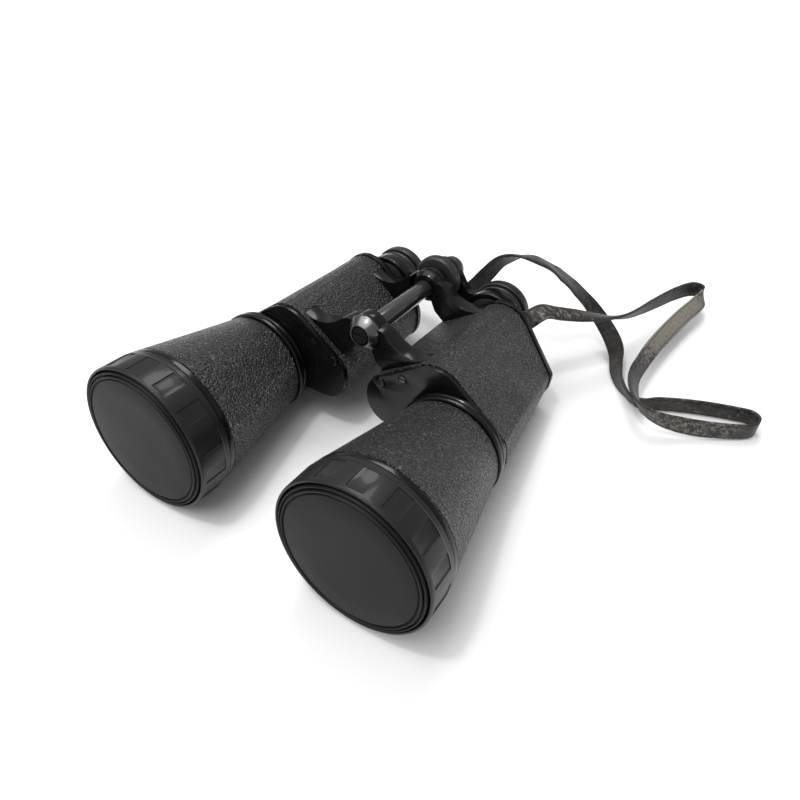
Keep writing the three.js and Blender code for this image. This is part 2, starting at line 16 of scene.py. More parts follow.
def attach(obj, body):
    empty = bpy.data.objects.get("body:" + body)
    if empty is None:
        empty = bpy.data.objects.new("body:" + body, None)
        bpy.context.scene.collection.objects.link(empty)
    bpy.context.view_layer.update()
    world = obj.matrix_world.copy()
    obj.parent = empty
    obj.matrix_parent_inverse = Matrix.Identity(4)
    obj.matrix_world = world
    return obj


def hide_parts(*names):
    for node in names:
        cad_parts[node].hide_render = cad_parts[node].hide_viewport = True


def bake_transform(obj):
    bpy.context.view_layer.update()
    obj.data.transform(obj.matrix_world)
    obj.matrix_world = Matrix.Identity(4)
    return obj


bl_info = {
    "name": "Binoculars",
    "version": (1, 0, 0),
    "blender": (4, 5, 0),
    "location": "View3D > Sidebar > Binoculars",
    "description": "Builds the finished pieces of a pair of porro-prism binoculars over their packed model",
    "category": "Object",
}

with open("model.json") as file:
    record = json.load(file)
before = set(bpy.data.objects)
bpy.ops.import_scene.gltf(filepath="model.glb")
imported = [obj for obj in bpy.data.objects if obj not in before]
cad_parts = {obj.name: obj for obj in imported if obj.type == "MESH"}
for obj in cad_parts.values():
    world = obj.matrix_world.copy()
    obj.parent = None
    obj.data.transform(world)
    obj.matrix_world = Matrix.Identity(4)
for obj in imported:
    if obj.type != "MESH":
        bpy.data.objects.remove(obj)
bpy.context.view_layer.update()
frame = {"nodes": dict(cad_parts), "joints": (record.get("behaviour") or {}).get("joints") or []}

MM = 0.001
HINGE = next(j for j in frame["joints"] if j["name"] == "interpupillary_hinge")
HINGE_Z = 33.1
HINGE_MARK = Vector((0, 115, HINGE_Z))  # the bench point that the hinge's position was stated at
TILT = math.atan2(-HINGE["axis"][2], HINGE["axis"][1])
TURN = Matrix.Rotation(-TILT, 4, "X")
BENCH = Matrix.Translation(Vector(HINGE["pos_m"]) - TURN @ (HINGE_MARK * MM)) @ TURN

AXIS_X = 54.2  # from the hinge to an objective's axis
EYE_X, EYE_Z = 32, 19.5  # from the hinge, and from the objective axes, to an eyepiece's axis
RING_R = 35.1
RING_GRIP = (3.2, 14.2)  # the facets' run along y
WHEEL_R = 12.6
WHEEL_GRIP = (151.5, 154.9)  # the ribs' run along y
SIDES = (("left", 1), ("right", -1))


# ---- settings ----------------------------------------------------------------------------------------
class BarrelSettings(bpy.types.PropertyGroup):
    facets: IntProperty(name="Ring facets", description="Grip facets around each objective ring", default=30)
    facet_depth: FloatProperty(
        name="Facet depth", description="How deep every other facet is cut", default=0.42 * MM, unit="LENGTH")
    steps: IntProperty(name="Steps", description="Segments round a large turned piece", default=120)


class FocusSettings(bpy.types.PropertyGroup):
    ribs: IntProperty(name="Ribs", description="Ribs round the focus wheel", default=64)
    rib_height: FloatProperty(
        name="Rib height", description="Height of the ribs over the wheel", default=0.3 * MM, unit="LENGTH")


class StrapSettings(bpy.types.PropertyGroup):
    width: FloatProperty(name="Width", description="Width of the strap", default=9.5 * MM, unit="LENGTH")
    thickness: FloatProperty(
        name="Thickness", description="Thickness of the leather", default=1.6 * MM, unit="LENGTH")
    margin: FloatProperty(
        name="Margin", description="From each edge to its creased line", default=1.3 * MM, unit="LENGTH")


def colour(name, description, value):
    return FloatVectorProperty(
        name=name, description=description, subtype="COLOR", size=4, min=0, max=1, default=(*value, 1))


class FinishSettings(bpy.types.PropertyGroup):
    cap: colour("Cap", "Moulded plastic of the caps", (0.0062, 0.0062, 0.0057))
    enamel: colour("Enamel", "Gloss enamel on the metal", (0.0032, 0.0032, 0.0034))
    satin: colour("Satin metal", "Satin black of the hinge and oculars", (0.018, 0.018, 0.019))
    grain: colour("Leatherette", "Pebbled covering", (0.025, 0.025, 0.0252))
    strap: colour("Strap", "Finished face of the strap", (0.014, 0.012, 0.011))
    worn: colour("Worn strap", "Where the finish has cracked away", (0.2, 0.185, 0.155))
    grain_size: FloatProperty(
        name="Grain size", description="Size of a pebble of the grain", default=1.7 * MM, unit="LENGTH")


def barrel():
    return bpy.context.scene.bino_barrel


def finishes():
    return bpy.context.scene.bino_finish


# ---- shading -----------------------------------------------------------------------------------------
class Value:
    """A number in a material; an expression on it adds its Math nodes."""

    def __init__(self, finish, socket):
        self.finish = finish
        self.socket = socket

    def math(self, operation, *others, swap=False):
        values = (*others, self) if swap else (self, *others)
        node = self.finish.node("ShaderNodeMath", {"operation": operation}, dict(enumerate(values)))
        return Value(self.finish, node.outputs[0])

    def __add__(self, other):
        return self.math("ADD", other)

    __radd__ = __add__

    def __mul__(self, other):
        return self.math("MULTIPLY", other)

    __rmul__ = __mul__

    def __sub__(self, other):
        return self.math("SUBTRACT", other)

    def __rsub__(self, other):
        return self.math("SUBTRACT", other, swap=True)

    def between(self, low, high):
        """0 below low, 1 above high and smooth from one to the other."""
        node = self.finish.node(
            "ShaderNodeMapRange", {"interpolation_type": "SMOOTHSTEP"}, {0: self, 1: low, 2: high})
        return Value(self.finish, node.outputs[0])


class Finish:
    """A material of one Principled shader and the nodes that feed it."""

    def __init__(self, name, **constants):
        self.material = bpy.data.materials.new(name)
        self.material.use_nodes = True
        self.tree = self.material.node_tree
        self.shader = self.tree.nodes["Principled BSDF"]
        self.set(**constants)

    def set(self, **values):
        for key, value in values.items():
            self.feed(self.shader.inputs[key.replace("_", " ").title().replace("Ior", "IOR")], value)

    def feed(self, socket, value):
        if isinstance(value, Value):
            self.tree.links.new(value.socket, socket)
        elif isinstance(value, bpy.types.NodeSocket):
            self.tree.links.new(value, socket)
        else:
            socket.default_value = value

    def node(self, kind, settings=None, inputs=None):
        made = self.tree.nodes.new(kind)
        for key, value in (settings or {}).items():
            setattr(made, key, value)
        for key, value in (inputs or {}).items():
            self.feed(made.inputs[key], value)
        return made

    def place(self):
        return self.node("ShaderNodeTexCoord").outputs["Object"]

    def stretched(self, scale):
        """Object coordinates that draw a pattern out along the axes whose scale is below 1."""
        return self.node("ShaderNodeMapping", None, {"Vector": self.place(), "Scale": scale}).outputs[0]

    def noise(self, size, detail=3, vector=None, roughness=0.55):
        made = self.node("ShaderNodeTexNoise", None, {
            "Vector": vector or self.place(), "Scale": 1 / size, "Detail": detail, "Roughness": roughness})
        return Value(self, made.outputs["Fac"])

    def cells(self, size, vector):
        """Distance to the nearest edge between cells of about this size."""
        made = self.node(
            "ShaderNodeTexVoronoi", {"feature": "DISTANCE_TO_EDGE"}, {"Vector": vector, "Scale": 1 / size})
        return Value(self, made.outputs["Distance"])

    def warped(self, size, amount):
        """Object coordinates pushed about by noise, so that cells are not straight-sided."""
        noise = self.node("ShaderNodeTexNoise", None, {"Vector": self.place(), "Scale": 1 / size})
        push = self.node(
            "ShaderNodeVectorMath", {"operation": "SCALE"}, {0: noise.outputs["Color"], 3: amount})
        moved = self.node(
            "ShaderNodeVectorMath", {"operation": "ADD"}, {0: self.place(), 1: push.outputs[0]})
        return moved.outputs[0]

    def blend(self, factor, first, second):
        made = self.node("ShaderNodeMix", {"data_type": "RGBA"}, {0: factor, 6: first, 7: second})
        return made.outputs[2]

    def relief(self, height, depth):
        made = self.node("ShaderNodeBump", None, {"Height": height, "Distance": depth})
        self.set(normal=made.outputs[0])

    def attribute(self, name):
        return Value(self, self.node("ShaderNodeAttribute", {"attribute_name": name}).outputs["Fac"])


def lighter(value, factor):
    """A colour times a factor, which darkens it below 1."""
    return tuple(min(1, c * factor) for c in value[:3]) + (1,)


def moulded_plastic():
    finish = Finish("cap_plastic", specular_ior_level=0.17)
    base = finishes().cap
    cloud = finish.noise(16 * MM, 4)
    fine = finish.noise(0.45 * MM, 2)
    scuffs = finish.noise(1.1 * MM, 3, finish.stretched((1, 1, 0.12))).between(0.66, 0.8)
    finish.set(base_color=finish.blend(cloud * 0.7 + scuffs * 0.25, lighter(base, 0.8), lighter(base, 1.45)))
    finish.set(roughness=0.4 + cloud * 0.14 - scuffs * 0.06)
    finish.relief(fine + cloud * 0.3, 0.02 * MM)
    return finish.material


def enamel(name="gloss_enamel", rough=0.15, wear=1):
    """Black enamel; wear is how many times lighter than new it is."""
    finish = Finish(name, specular_ior_level=0.24, coat_roughness=0.1)
    base = lighter(finishes().enamel, wear)
    cloud = finish.noise(9 * MM, 4)
    dust = finish.noise(0.6 * MM, 4).between(0.6, 0.78)
    finish.set(base_color=finish.blend(dust * 0.35 + cloud * 0.3, base, lighter(base, 3.2)))
    finish.set(roughness=rough + cloud * 0.12 + dust * 0.12, coat_weight=0.16 - dust * 0.1)
    finish.relief(cloud + finish.noise(2.4 * MM, 2) * 0.4, 0.03 * MM)
    return finish.material


def ring_enamel():
    return enamel("handled_enamel", rough=0.34, wear=3)


def satin_metal():
    finish = Finish("satin_black_metal", specular_ior_level=0.55)
    base = finishes().satin
    brush = finish.noise(0.5 * MM, 3, finish.stretched((1, 0.08, 1)))
    cloud = finish.noise(7 * MM, 3)
    finish.set(base_color=finish.blend(cloud * 0.6, base, lighter(base, 1.9)))
    finish.set(roughness=0.24 + brush * 0.12 + cloud * 0.06)
    finish.relief(brush, 0.008 * MM)
    return finish.material


def tube_metal():
    """The hinge tube's smoother and glossier black."""
    finish = Finish("smooth_black_metal", specular_ior_level=0.5, coat_roughness=0.05)
    base = finishes().satin
    cloud = finish.noise(6 * MM, 3)
    finish.set(base_color=finish.blend(cloud * 0.6, base, lighter(base, 1.7)))
    finish.set(roughness=0.26 + cloud * 0.06, coat_weight=0.8 - cloud * 0.1)
    return finish.material


def leatherette():
    finish = Finish("pebbled_leatherette", specular_ior_level=0.75)
    look = finishes()
    at = finish.warped(look.grain_size * 1.5, look.grain_size * 0.9)
    pebbles = finish.cells(look.grain_size, at).between(0.02, 0.3)
    small = finish.cells(look.grain_size * 0.46, at).between(0.0, 0.32)
    swell = finish.noise(look.grain_size * 2.6, 2)
    height = pebbles * 0.75 + small * 0.25 * pebbles + swell * 0.5
    worn = finish.noise(11 * MM, 4)
    # The pebbles' share of this colour is painted light: the valleys between pebbles are painted dark as shade
    # and the pebble tops light as a painted sheen. The worn noise is the covering's own uneven tone.
    tone = pebbles * 0.55 + worn * 0.45
    finish.set(base_color=finish.blend(tone, lighter(look.grain, 0.15), lighter(look.grain, 2.6)))
    finish.set(roughness=0.4 - pebbles * 0.16 + worn * 0.06)
    finish.relief(height, 2.2 * MM)
    return finish.material


def polished(name="bright_steel", tone=0.55, rough=0.16):
    """Brushed and stained steel, whose tone is its brightness."""
    finish = Finish(name, metallic=1.0)
    brush = finish.noise(0.35 * MM, 3, finish.stretched((1, 0.15, 1)))
    stain = finish.noise(2.5 * MM, 4)
    finish.set(base_color=finish.blend(stain, (tone, tone, tone * 0.97, 1), (tone * 0.45,) * 3 + (1,)))
    finish.set(roughness=rough + brush * 0.16 + stain * 0.1)
    finish.relief(brush, 0.01 * MM)
    return finish.material


def dark_steel():
    return polished("darkened_steel", tone=0.12, rough=0.24)


def worn_steel():
    return polished("worn_boss_steel", tone=0.24, rough=0.12)


def glass():
    finish = Finish("optical_glass", transmission_weight=0.9, ior=1.52, coat_weight=0.4)
    blue, violet = (0.78, 0.86, 0.9, 1), (0.86, 0.82, 0.92, 1)
    finish.set(base_color=finish.blend(finish.noise(30 * MM, 1), blue, violet))
    finish.set(roughness=finish.noise(12 * MM, 2) * 0.03)
    return finish.material


def blacking():
    finish = Finish("inner_blacking", specular_ior_level=0.2)
    grain = finish.noise(0.6 * MM, 3)
    finish.set(base_color=finish.blend(grain, (0.004, 0.004, 0.004, 1), (0.011, 0.011, 0.011, 1)))
    finish.set(roughness=0.75 + grain * 0.15)
    finish.relief(grain, 0.03 * MM)
    return finish.material


def strap_leather():
    finish = Finish("strap_leather", specular_ior_level=0.4)
    look = finishes()
    wear = finish.attribute("wear")
    line = finish.attribute("line")
    at = finish.warped(3 * MM, 1.6 * MM)
    flakes = finish.noise(2.2 * MM, 5, at, 0.68)
    cracks = finish.cells(1.3 * MM, at).between(0.0, 0.07)
    bare = (flakes + wear * 0.62).between(0.72, 0.86)
    scuff = (flakes + finish.noise(14 * MM, 2) * 0.5 + wear * 0.2).between(0.72, 1.0)
    dark = finish.blend(scuff, look.strap, lighter(look.strap, 4.2))
    pale = finish.blend(cracks, lighter(look.strap, 1.6), look.worn)
    body = finish.blend(bare, dark, pale)
    finish.set(base_color=finish.blend(line * 0.75, body, lighter(look.strap, 0.5)))
    finish.set(roughness=0.42 + bare * 0.34 + scuff * 0.08)
    grain = finish.noise(0.4 * MM, 3)
    finish.relief(grain * 0.3 + cracks * 0.5 - bare * 0.4, 0.09 * MM)
    return finish.material


def eyecup_plastic():
    finish = Finish("eyecup_plastic", specular_ior_level=0.45)
    cloud = finish.noise(5 * MM, 3)
    finish.set(base_color=finish.blend(cloud, (0.009, 0.009, 0.009, 1), (0.02, 0.02, 0.021, 1)))
    finish.set(roughness=0.3 + cloud * 0.15)
    finish.relief(finish.noise(0.5 * MM, 2), 0.012 * MM)
    return finish.material


MAKERS = {
    "cap": moulded_plastic,
    "enamel": enamel,
    "ring_enamel": ring_enamel,
    "satin": satin_metal,
    "tube": tube_metal,
    "leatherette": leatherette,
    "steel": polished,
    "dark_steel": dark_steel,
    "worn_steel": worn_steel,
    "glass": glass,
    "blacking": blacking,
    "strap": strap_leather,
    "eyecup": eyecup_plastic,
}
made_materials = {}


def material(name):
    if name not in made_materials:
        made_materials[name] = MAKERS[name]()
    return made_materials[name]


def dress(piece, name):
    piece.data.materials.clear()
    piece.data.materials.append(material(name))


# ---- modelling ---------------------------------------------------------------------------------------
def deselect():
    if bpy.context.object and bpy.context.object.mode != "OBJECT":
        bpy.ops.object.mode_set(mode="OBJECT")
    bpy.ops.object.select_all(action="DESELECT")


def pick(piece):
    deselect()
    piece.select_set(True)
    bpy.context.view_layer.objects.active = piece


def settle(piece, width, segments=2):
    """Tips the piece to its place, eases its edges and smooths it."""
    pick(piece)
    piece.matrix_world = BENCH @ piece.matrix_world
    bpy.ops.object.transform_apply(location=True, rotation=True, scale=True)
    ease(piece, width, segments, sharp=30)


def ease(piece, width, segments, sharp):
    """Bevels the edges sharper than the angle and smooths the rest."""
    pick(piece)
    bevel = piece.modifiers.new("eased_edges", "BEVEL")
    bevel.width = width * MM
    bevel.segments = segments
    bevel.limit_method = "ANGLE"
    bevel.angle_limit = math.radians(sharp)
    bpy.ops.object.modifier_apply(modifier=bevel.name)
    bpy.ops.object.shade_smooth_by_angle(angle=math.radians(sharp))


def turn(name, profile, x, z, steps):
    """Draws a turned piece on the bench, about an axis along y, from a profile of (radius, y)."""
    deselect()
    tiny = 1e-3  # a radius that stands for a point on the axis; the merge closes it
    merge = 4e-6
    radius, y = max(profile[0][0], tiny), profile[0][1]
    bpy.ops.mesh.primitive_circle_add(
        vertices=steps, radius=radius * MM, location=(x * MM, y * MM, z * MM),
        rotation=(math.pi / 2, 0, 0), enter_editmode=True)
    piece = bpy.context.object
    piece.name = piece.data.name = name
    for next_radius, next_y in profile[1:]:
        next_radius = max(next_radius, tiny)
        bpy.ops.mesh.extrude_region_move(TRANSFORM_OT_translate={"value": (0, (next_y - y) * MM, 0)})
        grow = next_radius / radius
        bpy.ops.transform.resize(value=(grow, 1, grow), center_override=(x * MM, next_y * MM, z * MM))
        radius, y = next_radius, next_y
    bpy.ops.mesh.select_all(action="SELECT")
    bpy.ops.mesh.remove_doubles(threshold=merge)
    bpy.ops.mesh.normals_make_consistent(inside=False)
    bpy.ops.mesh.select_all(action="DESELECT")
    bpy.ops.object.mode_set(mode="OBJECT")
    return piece


def turned(name, profile, x, z, steps, width):
    """A turned piece in its place, with its edges eased."""
    piece = turn(name, profile, x, z, steps)
    settle(piece, width)
    return piece


def closed(profile):
    """The profile run back to its start, for a ring's section."""
    return [*profile, profile[0]]


def copied(name, node, width, segments=3):
    """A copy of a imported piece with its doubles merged, its flat faces whole and its edges eased."""
    merge = 2e-6
    flat = math.radians(0.6)
    source = frame["nodes"][node]
    piece = bpy.data.objects.new(name, source.data.copy())
    piece.data.name = name
    bpy.context.scene.collection.objects.link(piece)
    pick(piece)
    bpy.ops.object.mode_set(mode="EDIT")
    bpy.ops.mesh.select_all(action="SELECT")
    bpy.ops.mesh.remove_doubles(threshold=merge)
    bpy.ops.mesh.dissolve_limited(angle_limit=flat)
    bpy.ops.object.mode_set(mode="OBJECT")
    ease(piece, width, segments, sharp=32)
    return piece


def finished(piece, body, look, slot, *nodes):
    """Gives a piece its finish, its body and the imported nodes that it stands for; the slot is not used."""
    dress(piece, look)
    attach(piece, body)
    if nodes:
        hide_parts(*nodes)


def press_faces(piece, chosen, scale, x, z):
    """Extrudes the chosen faces and scales them about the axis through (x, z)."""
    pick(piece)
    bpy.ops.object.mode_set(mode="EDIT")
    bpy.ops.mesh.select_mode(type="FACE")
    bpy.ops.mesh.select_all(action="DESELECT")
    bpy.ops.object.mode_set(mode="OBJECT")
    for polygon in piece.data.polygons:
        polygon.select = chosen(piece.matrix_world @ polygon.center)
    bpy.ops.object.mode_set(mode="EDIT")
    bpy.ops.mesh.extrude_region_move()
    bpy.ops.transform.resize(value=(scale, 1, scale), center_override=(x * MM, 0, z * MM))
    bpy.ops.mesh.select_mode(type="VERT")
    bpy.ops.object.mode_set(mode="OBJECT")


def sector(point, x, z, count):
    """Which of count equal sectors about the axis through (x, z) the point is in."""
    turns = math.atan2(point.z - z * MM, point.x - x * MM) / math.tau
    rounding = 1e-6
    return math.floor(turns * count + rounding)


def on_rim(point, x, z, grip, radius):
    """Whether a point of a turned piece is within the grip's run along y and beyond the radius."""
    start, end = grip
    out = math.hypot(point.x / MM - x, point.z / MM - z)
    return start < point.y / MM < end and out > radius


# ---- the pieces --------------------------------------------------------------------------------------
class BinoOperator:
    bl_options = {"REGISTER", "UNDO"}


class BINO_OT_caps(BinoOperator, bpy.types.Operator):
    """Push-in objective caps: a flat face, a groove, a ridge, a wider groove and the rolled rim"""

    bl_idname = "bino.caps"
    bl_label = "Objective caps"

    def execute(self, context):
        profile = closed([
            (0, 3.2), (0, 0.35), (20, 0.3), (29.6, 0.2), (30.0, 0.9), (30.35, 0.9), (30.6, 0.15), (31.2, 0),
            (31.5, 0.6), (31.6, 1.5), (32.0, 1.5), (32.2, 0.6), (32.7, 0.5), (33.05, 1.1), (33.1, 2.2),
            (32.8, 10.3), (31.3, 10.3), (31.3, 3.6), (30.6, 3.2),
        ])
        for side, sign in SIDES:
            cap = turned(f"{side}_cap", profile, sign * AXIS_X, 0, barrel().steps, width=0.12)
            finished(cap, f"{side}_cap", "cap", "cap_plastic", f"{side}_objective_cap")
        return {"FINISHED"}


class BINO_OT_rings(BinoOperator, bpy.types.Operator):
    """Objective rings with broad grip facets, every other one cut back"""

    bl_idname = "bino.rings"
    bl_label = "Objective rings"

    def execute(self, context):
        grip_start, grip_end = RING_GRIP
        profile = closed([
            (33.7, 1.9), (33.9, 1.35), (34.4, 1.1), (34.9, 1.5), (RING_R, 2.3), (RING_R, grip_start),
            (RING_R, grip_end), (34.95, 14.9), (34.7, 15.2), (34.7, 17.2), (34.4, 17.45), (33.7, 17.45),
        ])
        settings = barrel()
        depth = settings.facet_depth / MM

        for side, sign in SIDES:
            x = sign * AXIS_X
            ring = turn(f"{side}_ring", profile, x, 0, settings.facets * 4)

            def cut_back(point):
                return (
                    on_rim(point, x, 0, RING_GRIP, RING_R - 0.5)
                    and sector(point, x, 0, settings.facets) % 2
                )

            press_faces(ring, cut_back, 1 - depth / RING_R, x, 0)
            settle(ring, width=0.1)
            finished(ring, f"{side}_barrel", "ring_enamel", "gloss_paint", f"{side}_objective_ring")
        return {"FINISHED"}


class BINO_OT_barrels(BinoOperator, bpy.types.Operator):
    """Barrel tubes with their smooth band, the leatherette round the cone and the grooved collar"""

    bl_idname = "bino.barrels"
    bl_label = "Barrels"

    def execute(self, context):
        tube = closed([
            (31.3, 11), (32.9, 11), (32.9, 17.75), (34.1, 17.75), (34.35, 18), (34.35, 20.0), (34.1, 20.35),
            (33.0, 20.4), (24.1, 73.2), (21.6, 73.4), (21.6, 82.1), (20, 82.1), (20, 72.6), (31.3, 23),
        ])
        leather = closed([
            (33.15, 20.9), (33.7, 20.7), (34.0, 21.1), (29.5, 47), (25.15, 72.6), (24.9, 73.05), (24.4, 73.0),
            (28.7, 47),
        ])
        collar = closed([
            (21.9, 74), (25.2, 74), (25.75, 74.3), (25.9, 74.9), (25.9, 76.2), (25.5, 76.6), (25.05, 76.9),
            (25.05, 77.7), (25.3, 78), (25.3, 79.4), (25.1, 79.6), (21.9, 79.6),
        ])
        for side, sign in SIDES:
            x, body = sign * AXIS_X, f"{side}_barrel"
            for name, profile, look, slot in (
                ("tube", tube, "enamel", "gloss_paint"),
                ("leather", leather, "leatherette", "leatherette"),
                ("collar", collar, "enamel", "gloss_paint"),
            ):
                piece = turned(f"{side}_barrel_{name}_piece", profile, x, 0, barrel().steps, width=0.12)
                finished(piece, body, look, slot, f"{side}_barrel_{name}")
        return {"FINISHED"}


class BINO_OT_housings(BinoOperator, bpy.types.Operator):
    """Prism housings: front plates with a screw and a plug, leatherette, rear covers and strap lugs"""

    bl_idname = "bino.housings"
    bl_label = "Prism housings"

    def execute(self, context):
        for side, _ in SIDES:
            body = f"{side}_barrel"
            for node, look, slot, width, segments in (
                ("front_plate", "enamel", "gloss_paint", 0.35, 3),
                ("housing_leather", "leatherette", "leatherette", 0.3, 2),
                ("rear_cover", "enamel", "gloss_paint", 0.9, 4),
                ("plate_screw", "dark_steel", "steel", 0.12, 2),
                ("plate_plug", "enamel", "gloss_paint", 0.2, 3),
                ("strap_lug", "enamel", "gloss_paint", 0.4, 3),
            ):
                piece = copied(f"{side}_{node}_piece", f"{side}_{node}", width, segments)
                finished(piece, body, look, slot, f"{side}_{node}")
            dress(frame["nodes"][f"{side}_housing"], "enamel")
        return {"FINISHED"}


class BINO_OT_hinge(BinoOperator, bpy.types.Operator):
    """Hinge arms, the front boss's worn bevel, the smooth tube and the cap screw"""

    bl_idname = "bino.hinge"
    bl_label = "Hinge"

    def execute(self, context):
        for side, _ in SIDES:
            for node in ("front_hinge_arm", "rear_hinge_arm"):
                arm = copied(f"{side}_{node}_piece", f"{side}_{node}", width=0.45)
                finished(arm, f"{side}_barrel", "enamel", "gloss_paint", f"{side}_{node}")
        bevel = turned("front_boss_bevel", closed([
            (4.75, 82.05), (5.2, 82.0), (5.6, 82.3), (8.55, 85.6), (8.72, 86.1), (8.72, 86.5), (8.4, 86.5),
            (8.3, 86.1), (5.1, 82.5),
        ]), 0, HINGE_Z, steps=72, width=0.05)
        finished(bevel, "right_barrel", "worn_steel", "steel")
        tube = turned("hinge_tube_piece", closed([
            (2.9, 94.6), (4.2, 94.6), (4.6, 95), (4.6, 96.8), (4.45, 97), (4.45, 97.3), (4.6, 97.5),
            (4.6, 138.9), (4.3, 139.5), (2.9, 139.6),
        ]), 0, HINGE_Z, steps=64, width=0.05)
        finished(tube, "left_barrel", "tube", "satin_paint", "hinge_tube")
        screw = copied("hinge_cap_screw_piece", "hinge_cap_screw", width=0.2)
        finished(screw, "right_barrel", "blacking", "steel", "hinge_cap_screw")
        dress(frame["nodes"]["hinge_axle"], "steel")
        dress(frame["nodes"]["hinge_washer"], "steel")
        return {"FINISHED"}


class BINO_OT_focus(BinoOperator, bpy.types.Operator):
    """Ribbed focus wheel, its spindle and the bridge's hub"""

    bl_idname = "bino.focus"
    bl_label = "Focusing"

    def execute(self, context):
        settings = context.scene.bino_focus
        base = WHEEL_R - settings.rib_height / MM
        grip_start, grip_end = WHEEL_GRIP
        wheel = turn("focus_wheel_piece", closed([
            (3.3, 150.4), (11.2, 150.4), (11.7, 150.7), (base, 151.1), (base, grip_start), (base, grip_end),
            (base, 155.2), (12.0, 155.6), (11.4, 155.8), (3.3, 155.8),
        ]), 0, HINGE_Z, settings.ribs * 2)

        def on_rib(point):
            return (
                on_rim(point, 0, HINGE_Z, WHEEL_GRIP, WHEEL_R - 0.7)
                and sector(point, 0, HINGE_Z, settings.ribs * 2) % 2
            )

        press_faces(wheel, on_rib, WHEEL_R / base, 0, HINGE_Z)
        settle(wheel, width=0.06, segments=1)
        finished(wheel, "focus_wheel", "satin", "satin_paint", "focus_wheel")
        dress(frame["nodes"]["focus_spindle"], "steel")
        hub = turned("bridge_hub_piece", [
            (0, 168.4), (3.3, 168.4), (3.3, 157.2), (6.0, 157.2), (6.2, 157.5), (6.2, 165.4), (6.0, 165.6),
            (6.0, 166), (6.6, 166.3), (6.6, 169.9), (6.2, 170.6), (5.6, 170.6), (5.3, 170.2), (2, 170.2),
            (1.6, 170.9), (0, 171),
        ], 0, HINGE_Z, steps=56, width=0.1)
        finished(hub, "ocular_bridge", "satin", "satin_paint", "bridge_hub")
        return {"FINISHED"}


class BINO_OT_oculars(BinoOperator, bpy.types.Operator):
    """Ocular arms, eyepiece tubes, collar and dioptre ring, and the eyecups"""

    bl_idname = "bino.oculars"
    bl_label = "Oculars"

    def execute(self, context):
        tube = closed([
            (5.2, 143), (6.2, 143), (6.2, 152.6), (12, 152.6), (12, 167.3), (10.6, 167.3), (10.6, 158),
            (5.2, 156),
        ])
        collar = closed([
            (12.3, 163), (13.9, 163), (14.3, 163.3), (14.3, 164.4), (13.9, 164.9), (12.3, 164.9),
        ])
        eyecup = closed([
            (12.3, 165.7), (14.9, 165.7), (15.3, 166.0), (15.4, 166.6), (15.4, 170.3), (15.1, 171.1),
            (14.4, 171.55), (12.4, 171.6), (11.2, 171.2), (9.4, 169.4), (9.0, 168.7), (9.0, 167.9),
            (12.3, 167.9),
        ])
        for side, sign in SIDES:
            x = sign * EYE_X
            right = side == "right"
            arm_body = "right_ocular" if right else "ocular_bridge"
            eye_body = "right_eyepiece" if right else "ocular_bridge"
            collar_body = "dioptre_ring" if right else "ocular_bridge"
            collar_node = "right_dioptre_ring" if right else "left_eyepiece_collar"
            piece = copied(f"{side}_ocular_arm_piece", f"{side}_ocular_arm", width=0.4)
            finished(piece, arm_body, "enamel", "satin_paint", f"{side}_ocular_arm")
            piece = turned(f"{side}_eyepiece_tube_piece", tube, x, EYE_Z, steps=72, width=0.1)
            finished(piece, eye_body, "satin", "satin_paint", f"{side}_eyepiece_tube")
            piece = turned(f"{collar_node}_piece", collar, x, EYE_Z, steps=72, width=0.1)
            finished(piece, collar_body, "satin", "satin_paint", collar_node)
            piece = turned(f"{side}_eyecup_piece", eyecup, x, EYE_Z, steps=80, width=0.12)
            finished(piece, eye_body, "eyecup", "eyecup_plastic", f"{side}_eyecup")
        return {"FINISHED"}


class BINO_OT_optics(BinoOperator, bpy.types.Operator):
    """Finishes on the lenses, prisms and blacked inner pieces"""

    bl_idname = "bino.optics"
    bl_label = "Optics"

    def execute(self, context):
        for side, _ in SIDES:
            for node in ("objective_lens", "front_prism", "rear_prism", "field_lens", "eye_lens"):
                dress(frame["nodes"][f"{side}_{node}"], "glass")
            for node in ("lens_retaining_ring", "prism_shelf"):
                dress(frame["nodes"][f"{side}_{node}"], "blacking")
        return {"FINISHED"}


